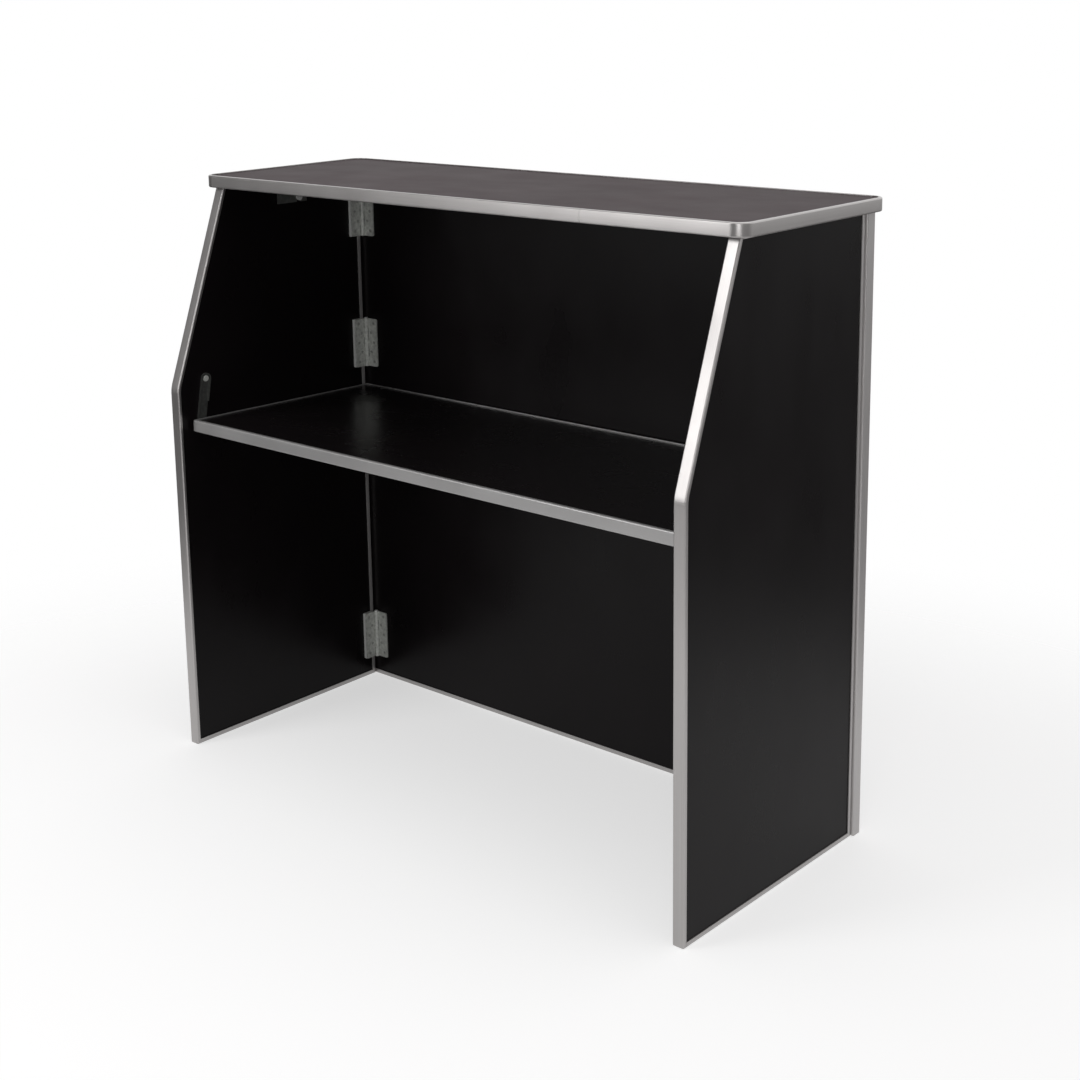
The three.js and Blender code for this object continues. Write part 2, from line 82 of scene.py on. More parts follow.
class Side(Enum):
    """The two side panels as the person serving sees them."""

    LEFT = "left"
    RIGHT = "right"

    @property
    def sign(self) -> float:
        """Direction of this side along X."""
        return -1.0 if self is Side.LEFT else 1.0


class Tier(Enum):
    """The three hinges of one corner, from the floor up."""

    BOTTOM = "bottom"
    MIDDLE = "middle"
    TOP = "top"


class Slot(Enum):
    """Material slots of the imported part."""

    ALUMINIUM = "satin_aluminium"
    ZINC = "zinc_steel"
    BRIGHT = "bright_steel"


class Axis(IntEnum):
    """The part's axes: along the bar, towards the guests, and up."""

    X = 0
    Y = 1
    Z = 2


class Step(Enum):
    """Steps of arithmetic on node values."""

    ADD = "ADD"
    MULTIPLY = "MULTIPLY"
    MAXIMUM = "MAXIMUM"


class Ease(Enum):
    """How a value passes from one end of a range to the other."""

    EVEN = "LINEAR"
    SOFT = "SMOOTHSTEP"


class Wiring:
    """The nodes and links of one tree."""

    def __init__(self, tree: bpy.types.NodeTree) -> None:
        """Takes the tree to work on."""
        self.tree = tree

    def put(self, value: object, socket: Socket) -> None:
        """Fills a node's input.

        Args:
            value: another node's output to link to it, or the value to set on it.
            socket: the input.
        """
        if isinstance(value, bpy.types.NodeSocket):
            self.tree.links.new(value, socket)
        else:
            socket.default_value = value

    def node(self, kind: str, inputs: dict[str | int, object] | None = None,
             **settings: object) -> bpy.types.Node:
        """Adds a node.

        Args:
            kind: the node's type.
            inputs: what goes into its inputs, as outputs of other nodes or as values.
            settings: properties to set on it first.

        Returns:
            The new node.
        """
        made = self.tree.nodes.new(kind)
        for key, value in settings.items():
            setattr(made, key, value)
        for key, value in (inputs or {}).items():
            self.put(value, made.inputs[key])
        return made

    def maths(self, step: Step, first: Socket, second: Socket | float) -> Socket:
        """Does one step of arithmetic on two values and gives the result."""
        return self.node("ShaderNodeMath", {0: first, 1: second}, operation=step.value).outputs[0]

    def ramp(self, value: Socket, given: Span, wanted: Span, ease: Ease) -> Socket:
        """Maps a value from one range onto another.

        Args:
            value: the value.
            given: the range that it comes in.
            wanted: the range that it goes to.
            ease: how it passes from one end to the other.

        Returns:
            The mapped value.
        """
        ends = dict(zip(("From Min", "From Max", "To Min", "To Max"), (*given, *wanted)))
        made = self.node("ShaderNodeMapRange", ends | {"Value": value}, interpolation_type=ease.value)
        return made.outputs["Result"]


@dataclass(frozen=True)
class Pattern:
    """A pattern: its repeats per metre along each axis, how fine its detail goes, and what it follows."""

    stretch: Place
    detail: float = 0.0
    by_run: bool = False


@dataclass(frozen=True)
class Relief:
    """Fine surface relief: its depth in metres and the share of it that shows."""

    depth: float
    strength: float


class Recipe(Wiring):
    """One material under construction: a Principled shader and the nodes that feed it."""

    NOISE_SPAN: Span = (0.3, 0.7)

    def __init__(self, name: str) -> None:
        """Starts a material.

        Args:
            name: name of the material.
        """
        self.material = bpy.data.materials.new(name)
        self.material.use_nodes = True
        super().__init__(self.material.node_tree)
        self.shader = self.tree.nodes["Principled BSDF"]

    def feed(self, socket: str, value: Socket | float) -> None:
        """Fills one of the shader's inputs."""
        self.put(value, self.shader.inputs[socket])

    def spread(self, pattern: Pattern) -> Socket:
        """Lays out the coordinates of a pattern.

        Args:
            pattern: the pattern, which follows the trim's own run or the object's axes.

        Returns:
            The coordinates, already scaled.
        """
        if pattern.by_run:
            source = self.node("ShaderNodeUVMap", uv_map=RUN_MAP).outputs["UV"]
        else:
            source = self.node("ShaderNodeTexCoord").outputs["Object"]
        return self.node("ShaderNodeMapping", {"Vector": source, "Scale": pattern.stretch}).outputs["Vector"]

    def noise(self, pattern: Pattern) -> Socket:
        """Soft noise in a pattern, from 0 to 1 and mostly near its middle."""
        inputs = {"Vector": self.spread(pattern), "Scale": 1.0, "Detail": pattern.detail}
        return self.node("ShaderNodeTexNoise", inputs).outputs["Fac"]

    def cells(self, pattern: Pattern) -> Socket:
        """Crystal-like cells in a pattern, with a random value for each."""
        inputs = {"Vector": self.spread(pattern), "Scale": 1.0}
        return self.node("ShaderNodeTexVoronoi", inputs).outputs["Color"]

    def span(self, value: Socket, wanted: Span) -> Socket:
        """Maps noise onto a wanted range."""
        return self.ramp(value, self.NOISE_SPAN, wanted, Ease.EVEN)

    def tint(self, value: Socket, low: Colour, high: Colour) -> Socket:
        """Blends two colours by noise, the first where it is low and the second where it is high."""
        inputs = {"Factor": self.span(value, (0.0, 1.0)), "A": (*low, 1.0), "B": (*high, 1.0)}
        return self.node("ShaderNodeMix", inputs, data_type="RGBA").outputs["Result"]

    def emboss(self, height: Socket, relief: Relief) -> None:
        """Adds fine surface relief that follows a height from 0 to 1."""
        inputs = {"Height": height, "Distance": relief.depth, "Strength": relief.strength}
        self.feed("Normal", self.node("ShaderNodeBump", inputs).outputs["Normal"])


@dataclass(frozen=True)
class Finish:
    """What every finish has: a name, its darkest and lightest colour, and its range of roughness."""

    name: str
    shade: Colour
    light: Colour
    gloss: Span


@dataclass(frozen=True)
class DarkLaminate(Finish):
    """Near-black satin laminate with a fine pebbled face."""

    shine: float
    cloud: Pattern = Pattern((4.0, 4.0, 4.0), detail=4.0)
    smear: Pattern = Pattern((9.0, 13.0, 6.0), detail=5.0)
    pebble: Pattern = Pattern((850.0, 850.0, 850.0), detail=1.0)
    relief: Relief = Relief(depth=0.25 * MM, strength=0.05)

    def material(self) -> bpy.types.Material:
        """Makes the finish.

        Returns:
            The material.
        """
        recipe = Recipe(self.name)
        recipe.feed("Specular IOR Level", self.shine)
        recipe.feed("Base Color", recipe.tint(recipe.noise(self.cloud), self.shade, self.light))
        recipe.feed("Roughness", recipe.span(recipe.noise(self.smear), self.gloss))
        recipe.emboss(recipe.noise(self.pebble), self.relief)
        return recipe.material


@dataclass(frozen=True)
class SatinAluminium(Finish):
    """Anodised extrusion with fine drawing lines along its run."""

    metal: float
    lines: Pattern = Pattern((2.5, 1800.0, 1.0), detail=4.0, by_run=True)
    handling: Pattern = Pattern((11.0, 11.0, 7.0), detail=4.0)
    relief: Relief = Relief(depth=0.06 * MM, strength=0.10)

    def material(self) -> bpy.types.Material:
        """Makes the finish.

        Returns:
            The material.
        """
        recipe = Recipe(self.name)
        recipe.feed("Metallic", self.metal)
        drawn = recipe.noise(self.lines)
        recipe.feed("Base Color", recipe.tint(drawn, self.shade, self.light))
        recipe.feed("Roughness", recipe.span(recipe.noise(self.handling), self.gloss))
        recipe.emboss(drawn, self.relief)
        return recipe.material


@dataclass(frozen=True)
class PlatedSteel(Finish):
    """Zinc-plated sheet with a cloudy, faintly crystalline skin."""

    metal: float
    cloud: Pattern = Pattern((160.0, 160.0, 160.0), detail=6.0)
    crystals: Pattern = Pattern((380.0, 380.0, 380.0))
    skin: Pattern = Pattern((900.0, 900.0, 900.0), detail=2.0)
    relief: Relief = Relief(depth=0.1 * MM, strength=0.08)

    def material(self) -> bpy.types.Material:
        """Makes the finish.

        Returns:
            The material.
        """
        recipe = Recipe(self.name)
        recipe.feed("Metallic", self.metal)
        recipe.feed("Base Color", recipe.tint(recipe.noise(self.cloud), self.shade, self.light))
        recipe.feed("Roughness", recipe.span(recipe.cells(self.crystals), self.gloss))
        recipe.emboss(recipe.noise(self.skin), self.relief)
        return recipe.material


@dataclass(frozen=True)
class TurnedSteel(Finish):
    """Bright turned or headed steel with a trace of tool marks."""

    metal: float
    marks: Pattern = Pattern((1500.0, 1500.0, 500.0), detail=3.0)
    relief: Relief = Relief(depth=0.04 * MM, strength=0.08)

    def material(self) -> bpy.types.Material:
        """Makes the finish.

        Returns:
            The material.
        """
        recipe = Recipe(self.name)
        recipe.feed("Metallic", self.metal)
        marks = recipe.noise(self.marks)
        recipe.feed("Base Color", recipe.tint(marks, self.shade, self.light))
        recipe.feed("Roughness", recipe.span(marks, self.gloss))
        recipe.emboss(marks, self.relief)
        return recipe.material


class Finishes:
    """Every finish on the bar, made once."""

    def __init__(self) -> None:
        """Makes the materials."""
        self.laminate = DarkLaminate(
            "dark_laminate", shade=(0.0050, 0.0038, 0.0042), light=(0.0072, 0.0055, 0.0061),
            gloss=(0.26, 0.36), shine=0.14).material()
        # Lighter, redder base than the other boards: painted sheen for the grazing reflection on the counter
        # top.
        self.counter_laminate = DarkLaminate(
            "painted_sheen_laminate", shade=(0.0325, 0.0168, 0.0200), light=(0.0400, 0.0210, 0.0250),
            gloss=(0.49, 0.54), shine=0.09).material()
        self.shelf_laminate = DarkLaminate(
            "wiped_laminate", shade=(0.0070, 0.0056, 0.0060), light=(0.0092, 0.0074, 0.0080),
            gloss=(0.24, 0.29), shine=0.40).material()
        self.trim = SatinAluminium(
            "satin_aluminium", shade=(0.470, 0.453, 0.447), light=(0.540, 0.522, 0.515),
            gloss=(0.28, 0.36), metal=0.85).material()
        # Lighter, less metallic copy of the trim aluminium for the corner trims: painted light that keeps
        # their inside lips bright.
        self.corner_trim = SatinAluminium(
            "painted_light_corner_aluminium", shade=(0.560, 0.543, 0.537), light=(0.640, 0.622, 0.615),
            gloss=(0.30, 0.38), metal=0.55).material()
        # A little darker, rougher and less metallic than the trim aluminium.
        self.shelf_trim = SatinAluminium(
            "shelf_aluminium", shade=(0.455, 0.448, 0.445), light=(0.517, 0.510, 0.507),
            gloss=(0.33, 0.41), metal=0.62).material()
        self.zinc = PlatedSteel(
            "zinc_plate", shade=(0.50, 0.513, 0.485), light=(0.76, 0.775, 0.735),
            gloss=(0.42, 0.56), metal=0.20).material()
        # Near-white, mostly diffuse copy of the zinc plate for the packers: painted light on their front
        # edges, which the lamps hardly reach.
        self.packer_zinc = PlatedSteel(
            "painted_light_zinc_plate", shade=(0.84, 0.85, 0.82), light=(0.93, 0.935, 0.91),
            gloss=(0.36, 0.48), metal=0.10).material()
        # Darker zinc plate for the counter cleats.
        self.dark_cleat_zinc = PlatedSteel(
            "dark_cleat_zinc_plate", shade=(0.15, 0.154, 0.147), light=(0.21, 0.215, 0.205),
            gloss=(0.40, 0.52), metal=0.60).material()
        # Darker zinc plate for the hook arms.
        self.arm_zinc = PlatedSteel(
            "dark_arm_zinc_plate", shade=(0.100, 0.103, 0.098), light=(0.145, 0.149, 0.142),
            gloss=(0.38, 0.50), metal=0.60).material()
        # Near-white, mostly diffuse steel for the keepers, pins and studs: partly the steel's own brightness,
        # partly a painted glint.
        self.bright = TurnedSteel(
            "bright_steel", shade=(0.82, 0.82, 0.805), light=(0.90, 0.90, 0.885),
            gloss=(0.20, 0.30), metal=0.25).material()
        self.screw = TurnedSteel(
            "screw_steel", shade=(0.36, 0.365, 0.35), light=(0.48, 0.485, 0.465),
            gloss=(0.32, 0.44), metal=0.60).material()


def set_out(name: str, data: bpy.types.ID) -> bpy.types.Object:
    """Puts a new object into the scene.

    Args:
        name: name of the object.
        data: its mesh, light or camera.

    Returns:
        The object, at the origin.
    """
    made = bpy.data.objects.new(name, data)
    bpy.context.scene.collection.objects.link(made)
    return made


def flatten(piece: bpy.types.Object) -> bpy.types.Object:
    """Turns a piece's modifiers into plain mesh.

    Args:
        piece: a piece with modifiers.

    Returns:
        The same piece without modifiers.
    """
    graph = bpy.context.evaluated_depsgraph_get()
    mesh = bpy.data.meshes.new_from_object(piece.evaluated_get(graph))
    raw = piece.data
    piece.modifiers.clear()
    piece.data = mesh
    bpy.data.meshes.remove(raw)
    mesh.name = piece.name
    return piece


def lay_run(mesh: bpy.types.Mesh, run: Run) -> None:
    """Lays a map along and across a trim.

    Args:
        mesh: the trim's mesh.
        run: gives a point's place along and across the trim, in metres.
    """
    layer = mesh.uv_layers.new(name=RUN_MAP)
    for loop in mesh.loops:
        layer.data[loop.index].uv = run(mesh.vertices[loop.vertex_index].co)


def straight_run(axis: Axis) -> Run:
    """Run of a straight trim.

    Args:
        axis: the axis that the trim follows.

    Returns:
        The map from a point to its place along and across.
    """
    second, third = (other for other in Axis if other is not axis)

    def place(point: Vector) -> Span:
        """A point's place along and across."""
        return point[axis], point[second] + point[third]
    return place


def bent_run(path: Sequence[Vector], across: Vector) -> Run:
    """Run of a trim that is bent along a path.

    Args:
        path: corner points of the path.
        across: direction square to the path's plane.

    Returns:
        The map from a point to its place along and across.
    """
    def place(point: Vector) -> Span:
        """Finds the nearest stretch of the path.

        Args:
            point: a point on the trim.

        Returns:
            The point's place along and across.
        """
        nearest, along, travelled = math.inf, 0.0, 0.0
        for start, end in zip(path, path[1:]):
            stretch = end - start
            share = min(1.0, max(0.0, (point - start).dot(stretch) / stretch.length_squared))
            offset = point - start - stretch * share
            gap = (offset - across * offset.dot(across)).length
            if gap < nearest:
                nearest, along = gap, travelled + share * stretch.length
            travelled += stretch.length
        return along, nearest + point.dot(across)
    return place


@dataclass(frozen=True)
class Bench:
    """Turns nodes of the solid model into finished pieces.

    An edge steeper than the crease stays sharp, and faces flatter to each other than the flat are joined,
    both in degrees. Corners closer than the weld, in metres, are merged.
    """

    crease: float = 38.0
    flat: float = 0.3
    weld: float = 0.002 * MM

    def clean(self, node: str) -> bpy.types.Object:
        """Copies a node as one closed mesh whose rounded edges shade smoothly beside flat faces.

        Args:
            node: name of the node in the solid model.

        Returns:
            The copy, at the origin, with its place in its mesh.
        """
        shape = bmesh.new()
        shape.from_mesh(frame["nodes"][node].data)
        bmesh.ops.remove_doubles(shape, verts=shape.verts, dist=self.weld)
        bmesh.ops.dissolve_limit(
            shape, angle_limit=math.radians(self.flat), verts=shape.verts, edges=shape.edges)
        for face in shape.faces:
            face.smooth = True
        crease = math.radians(self.crease)
        for edge in shape.edges:
            edge.smooth = edge.is_manifold and edge.calc_face_angle() < crease
        name = f"{node}.dressed"
        mesh = bpy.data.meshes.new(name)
        shape.to_mesh(mesh)
        shape.free()
        piece = set_out(name, mesh)
        piece.modifiers.new("even_shading", "WEIGHTED_NORMAL").keep_sharp = True
        return flatten(piece)

    def dress(self, node: str, finish: bpy.types.Material, slot: Slot, run: Run | None = None) -> None:
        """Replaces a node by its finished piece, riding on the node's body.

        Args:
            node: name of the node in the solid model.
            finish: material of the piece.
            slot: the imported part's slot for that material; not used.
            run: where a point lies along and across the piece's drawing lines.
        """
        piece = self.clean(node)
        piece.data.materials.clear()
        piece.data.materials.append(finish)
        if run is not None:
            lay_run(piece.data, run)
        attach(piece, frame["nodes"][node]["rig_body"])
        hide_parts(node)
        LOG.info("dressed %s, %d faces", node, len(piece.data.polygons))

    def face(self, node: str, finish: bpy.types.Material) -> None:
        """Gives a node that stays in view its finish."""
        frame["nodes"][node].material_slots[0].material = finish
        LOG.info("faced %s", node)


@dataclass(frozen=True)
class ScrewHead:
    """Sizes of a cross-slotted screw head, in metres."""

    base_radius: float
    crown_radius: float
    height: float
    seat: float
    slot_width: float = 1.0 * MM
    slot_length: float = 3.4 * MM
    slot_depth: float = 1.1 * MM


SUNK_HEAD = ScrewHead(base_radius=2.0 * MM, crown_radius=3.25 * MM, height=1.9 * MM, seat=-2.0 * MM)
PAN_HEAD = ScrewHead(base_radius=3.6 * MM, crown_radius=2.9 * MM, height=1.8 * MM, seat=0.05 * MM)


class ScrewTree(Wiring):
    """Geometry Nodes that put a cross-slotted screw head on every point."""

    NAME = "screw_heads"
    SIZES = ("Base Radius", "Crown Radius", "Height", "Seat", "Slot Width", "Slot Length", "Slot Depth")

    def __init__(self, rim: int = 20, seed: int = 7) -> None:
        """Builds the tree once.

        Args:
            rim: corners round a head.
            seed: fixes how far each screw was turned home.
        """
        super().__init__(bpy.data.node_groups.new(self.NAME, "GeometryNodeTree"))
        face = self.tree.interface
        face.new_socket("Geometry", in_out="INPUT", socket_type="NodeSocketGeometry")
        for size in self.SIZES:
            face.new_socket(size, in_out="INPUT", socket_type="NodeSocketFloat")
        face.new_socket("Finish", in_out="INPUT", socket_type="NodeSocketMaterial")
        face.new_socket("Geometry", in_out="OUTPUT", socket_type="NodeSocketGeometry")
        self.given = self.node("NodeGroupInput").outputs
        self.wire(rim, seed)

    def lifted(self, mesh: Socket, height: Socket) -> Socket:
        """Moves a mesh along Z by a height."""
        move = self.node("ShaderNodeCombineXYZ", {"Z": height}).outputs["Vector"]
        return self.node("GeometryNodeTransform", {"Geometry": mesh, "Translation": move}).outputs["Geometry"]

    def bar(self, x: str, y: str) -> Socket:
        """One bar of the cross slot, with its middle on the crown and so twice as high as the slot is deep.

        Args:
            x: name of the size along X.
            y: name of the size along Y.

        Returns:
            The bar's geometry.
        """
        high = self.maths(Step.MULTIPLY, self.given["Slot Depth"], 2.0)
        size = self.node("ShaderNodeCombineXYZ", {"X": self.given[x], "Y": self.given[y], "Z": high})
        cube = self.node("GeometryNodeMeshCube", {"Size": size.outputs["Vector"]})
        crown = self.maths(Step.ADD, self.given["Height"], self.given["Seat"])
        return self.lifted(cube.outputs["Mesh"], crown)

    def head(self, rim: int) -> Socket:
        """One screw head with its cross slot.

        Args:
            rim: corners round the head.

        Returns:
            The head's geometry.
        """
        cone = self.node("GeometryNodeMeshCone", {
            "Vertices": rim, "Radius Bottom": self.given["Base Radius"],
            "Radius Top": self.given["Crown Radius"], "Depth": self.given["Height"]})
        cut = self.node("GeometryNodeMeshBoolean", {
            "Mesh 1": self.lifted(cone.outputs["Mesh"], self.given["Seat"]),
            "Mesh 2": self.bar("Slot Length", "Slot Width")}, operation="DIFFERENCE", solver="EXACT")
        self.put(self.bar("Slot Width", "Slot Length"), cut.inputs["Mesh 2"])
        return cut.outputs["Mesh"]

    def turned(self, seed: int) -> Socket:
        """The way each head faces, and how far it was turned home.

        Args:
            seed: fixes the turns.

        Returns:
            A rotation for each point.
        """
        facing = self.node("GeometryNodeInputNamedAttribute", {"Name": FACING}, data_type="FLOAT_VECTOR")
        align = self.node("FunctionNodeAlignRotationToVector", {
            "Vector": facing.outputs["Attribute"]}, axis="Z")
        angle = self.node("FunctionNodeRandomValue", {"Max": QUARTER_TURN, "Seed": seed}, data_type="FLOAT")
        spin = self.node("FunctionNodeAxisAngleToRotation", {
            "Axis": (0.0, 0.0, 1.0), "Angle": angle.outputs["Value"]})
        both = self.node("FunctionNodeRotateRotation", {
            "Rotation": align.outputs["Rotation"],
            "Rotate By": spin.outputs["Rotation"]}, rotation_space="LOCAL")
        return both.outputs["Rotation"]

    def wire(self, rim: int, seed: int) -> None:
        """Sets a head on every point, facing outwards.

        Args:
            rim: corners round a head.
            seed: fixes how far each screw was turned home.
        """
        scatter = self.node("GeometryNodeInstanceOnPoints", {
            "Points": self.given["Geometry"], "Instance": self.head(rim), "Rotation": self.turned(seed)})
        real = self.node("GeometryNodeRealizeInstances", {"Geometry": scatter.outputs["Instances"]})
        paint = self.node("GeometryNodeSetMaterial", {
            "Geometry": real.outputs["Geometry"], "Material": self.given["Finish"]})
        self.node("NodeGroupOutput", {"Geometry": paint.outputs["Geometry"]})

    def drive(self, name: str, body: str, head: ScrewHead, finish: bpy.types.Material,
              seats: Sequence[Seat]) -> None:
        """Drives a row of screws into one body, as one plain mesh.

        Args:
            name: name of the piece.
            body: body that the screws ride on.
            head: sizes of the heads.
            finish: material of the screws.
            seats: each screw's place and the way it faces.
        """
        mesh = bpy.data.meshes.new(name)
        mesh.from_pydata([place for place, _ in seats], [], [])
        facing = mesh.attributes.new(FACING, "FLOAT_VECTOR", "POINT")
        for item, (_, way) in zip(facing.data, seats):
            item.vector = way
        piece = set_out(name, mesh)
        modifier = piece.modifiers.new(self.NAME, "NODES")
        modifier.node_group = self.tree
        values = dict(zip(self.SIZES, astuple(head))) | {"Finish": finish}
        for item in self.tree.interface.items_tree:
            if item.in_out == "INPUT" and item.name in values:
                modifier[item.identifier] = values[item.name]
        flatten(piece)
        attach(piece, body)
        LOG.info("drove %d screws as %s", len(seats), name)


@dataclass
class FrontPanel:
    """The panel towards the guests: a board in four straight trims, with three ledges for the shelf."""

    bench: Bench
    finishes: Finishes
    ledges: tuple[str, ...] = ("left", "middle", "right")
    ledge_wall: float = 2.5 * MM
    screw_reach: float = 18 * MM
    screw_drop: float = 15 * MM

    def build(self, screws: ScrewTree) -> None:
        """Dresses the panel and screws its ledges on.

        Args:
            screws: the tree that makes screw heads.
        """
        self.bench.face("front_board", self.finishes.laminate)
        for edge in ("left", "right"):
            self.bench.dress(
                f"front_trim_{edge}", self.finishes.corner_trim, Slot.ALUMINIUM, straight_run(Axis.Z))
        for edge in ("top", "bottom"):
            self.bench.dress(f"front_trim_{edge}", self.finishes.trim, Slot.ALUMINIUM, straight_run(Axis.X))
        seats = []
        for ledge in self.ledges:
            self.bench.dress(f"shelf_ledge_{ledge}", self.finishes.zinc, Slot.ZINC)
            seats += self.ledge_screws(f"shelf_ledge_{ledge}")
        screws.drive("ledge_screws", "front_panel", PAN_HEAD, self.finishes.screw, seats)

    def ledge_screws(self, node: str) -> list[Seat]:
        """Two screws through a ledge's upright wing.

        Args:
            node: the ledge.

        Returns:
            Each screw's place and the way it faces.
        """
        low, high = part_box(node)
        centre = (low.x + high.x) / 2
        face = high.y - self.ledge_wall
        return [((centre + reach, face, high.z - self.screw_drop), (0.0, -1.0, 0.0))
                for reach in (-self.screw_reach, self.screw_reach)]


@dataclass
class SidePanel:
    """A side panel with its bent front trim, its hook arm and its keeper."""

    bench: Bench
    finishes: Finishes
    side: Side
    front: float = -0.2609
    elbow_height: float = 0.713
    height: float = 1.081
    top_setback: float = 0.133

    def build(self) -> None:
        """Dresses the board, its trims and its fittings."""
        name = self.side.value
        self.bench.face(f"{name}_board", self.finishes.laminate)
        plain, corner = self.finishes.trim, self.finishes.corner_trim
        for edge, finish, run in (
                ("front", plain, self.bent_front()), ("rear", corner, straight_run(Axis.Z)),
                ("top", plain, straight_run(Axis.Y)), ("bottom", plain, straight_run(Axis.Y))):
            self.bench.dress(f"{name}_trim_{edge}", finish, Slot.ALUMINIUM, run)
        self.bench.dress(f"{name}_hook_arm", self.finishes.arm_zinc, Slot.ZINC)
        self.bench.dress(f"{name}_arm_pivot", self.finishes.zinc, Slot.BRIGHT)
        self.bench.dress(f"{name}_keeper", self.finishes.bright, Slot.BRIGHT)

    def bent_front(self) -> Run:
        """Run of the front trim, upright to the elbow and leaning back above it.

        Returns:
            The map from a point to its place along and across.
        """
        path = [Vector((0.0, self.front, 0.0)), Vector((0.0, self.front, self.elbow_height)),
                Vector((0.0, self.front + self.top_setback, self.height))]
        return bent_run(path, Vector((1.0, 0.0, 0.0)))


@dataclass
class CornerHinge:
    """One butt hinge: two leaves on a pin, the side leaf lifted on a packer."""

    bench: Bench
    finishes: Finishes
    side: Side
    tier: Tier
    leaf_wall: float = 2.5 * MM
    far_screw: float = 19 * MM
    near_screw: float = 11 * MM
    rows: tuple[float, ...] = (-40 * MM, -20 * MM, 0.0, 20 * MM, 40 * MM)

    @property
    def stem(self) -> str:
        """Common part of the hinge's node names."""
        return f"{self.side.value}_{self.tier.value}_hinge"

    def build(self) -> None:
        """Dresses the leaves, the packer and the pin."""
        for part in ("front_leaf", "side_leaf"):
            self.bench.dress(f"{self.stem}_{part}", self.finishes.zinc, Slot.ZINC)
        self.bench.dress(f"{self.stem}_packer", self.finishes.packer_zinc, Slot.ZINC)
        self.bench.dress(f"{self.stem}_pin", self.finishes.bright, Slot.BRIGHT)

    def pin(self) -> Vector:
        """Middle of the hinge's pin."""
        low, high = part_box(f"{self.stem}_pin")
        return (low + high) / 2

    def reaches(self) -> list[Span]:
        """Distance from the pin and height of each screw in a leaf, far and near by turns."""
        return [(self.near_screw if row % 2 else self.far_screw, rise)
                for row, rise in enumerate(self.rows)]

    def front_screws(self) -> list[Seat]:
        """Screws in the leaf on the front panel.

        Returns:
            Each screw's place and the way it faces.
        """
        pin = self.pin()
        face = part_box(f"{self.stem}_front_leaf")[1].y - self.leaf_wall
        return [((pin.x - self.side.sign * reach, face, pin.z + rise), (0.0, -1.0, 0.0))
                for reach, rise in self.reaches()]

    def side_screws(self) -> list[Seat]:
        """Screws in the leaf on the side panel.

        Returns:
            Each screw's place and the way it faces.
        """
        pin = self.pin()
        low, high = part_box(f"{self.stem}_side_leaf")
        back = max(abs(low.x), abs(high.x))
        face = self.side.sign * (back - self.leaf_wall)
        return [((face, pin.y - reach, pin.z + rise), (-self.side.sign, 0.0, 0.0))
                for reach, rise in self.reaches()]


@dataclass
class HingeSet:
    """The six corner hinges, three at each end of the front panel, with their screws."""

    bench: Bench
    finishes: Finishes

    def build(self, screws: ScrewTree) -> None:
        """Dresses the hinges and screws them on.

        Args:
            screws: the tree that makes screw heads.
        """
        hinges = [CornerHinge(self.bench, self.finishes, side, tier) for side in Side for tier in Tier]
        for hinge in hinges:
            hinge.build()
        seats = [seat for hinge in hinges for seat in hinge.front_screws()]
        screws.drive("hinge_screws_front", "front_panel", SUNK_HEAD, self.finishes.screw, seats)
        for side in Side:
            name = side.value
            seats = [seat for hinge in hinges if hinge.side is side for seat in hinge.side_screws()]
            screws.drive(f"hinge_screws_{name}", f"{name}_side_panel", SUNK_HEAD, self.finishes.screw, seats)


@dataclass
class Slab:
    """A loose board inside one trim that is bent round all four corners."""

    bench: Bench
    finishes: Finishes
    board: str
    trim: str
    board_finish: bpy.types.Material
    trim_finish: bpy.types.Material

    def build(self) -> None:
        """Dresses the board and its trim."""
        self.bench.face(self.board, self.board_finish)
        self.bench.dress(self.trim, self.trim_finish, Slot.ALUMINIUM, self.round_run())

    def round_run(self) -> Run:
        """Run of the trim once round the board.

        Returns:
            The map from a point to its place along and across.
        """
        low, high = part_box(self.trim)
        corners = ((low.x, low.y), (high.x, low.y), (high.x, high.y), (low.x, high.y), (low.x, low.y))
        return bent_run([Vector((x, y, 0.0)) for x, y in corners], Vector((0.0, 0.0, 1.0)))


@dataclass
class Counter(Slab):
    """The counter, with a slotted cleat screwed under each end."""

    cleat_wall: float = 3 * MM
    screw_spread: float = 24 * MM
    screw_inset: float = 22 * MM

    def build_cleats(self, screws: ScrewTree) -> None:
        """Dresses the cleats and screws them on.

        Args:
            screws: the tree that makes screw heads.
        """
        seats = []
        for side in Side:
            node = f"{side.value}_counter_cleat"
            self.bench.dress(node, self.finishes.dark_cleat_zinc, Slot.ZINC)
            low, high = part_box(node)
            outer = max(abs(low.x), abs(high.x))
            middle = (low.y + high.y) / 2
            seats += [((side.sign * (outer - self.screw_inset), middle + reach, high.z - self.cleat_wall),
                       (0.0, 0.0, -1.0)) for reach in (-self.screw_spread, self.screw_spread)]
        screws.drive("cleat_screws", "counter", PAN_HEAD, self.finishes.screw, seats)


@dataclass
class Shelf(Slab):
    """The lift-out shelf, with a stud in each end for the hook arms."""

    def build_studs(self) -> None:
        """Dresses the studs."""
        for side in Side:
            self.bench.dress(f"{side.value}_shelf_stud", self.finishes.bright, Slot.BRIGHT)


@dataclass(frozen=True)
class Lamp:
    """A soft box: where it stands, where it points, its size and its power."""

    name: str
    place: Place
    target: Place
    width: float
    height: float
    power: float

    def hang(self) -> None:
        """Hangs the soft box."""
        light = bpy.data.lights.new(self.name, "AREA")
        light.shape = "RECTANGLE"
        light.size, light.size_y = self.width, self.height
        light.energy = self.power
        box = set_out(self.name, light)
        box.location = self.place
        aim = Vector(self.target) - Vector(self.place)
        box.rotation_euler = aim.to_track_quat("-Z", "Y").to_euler()


@dataclass(frozen=True)
class Lean:
    """A value that changes as a ray leans towards a direction, between two shares of that direction."""

    towards: Place
    shares: Span
    values: Span = (0.0, 1.0)


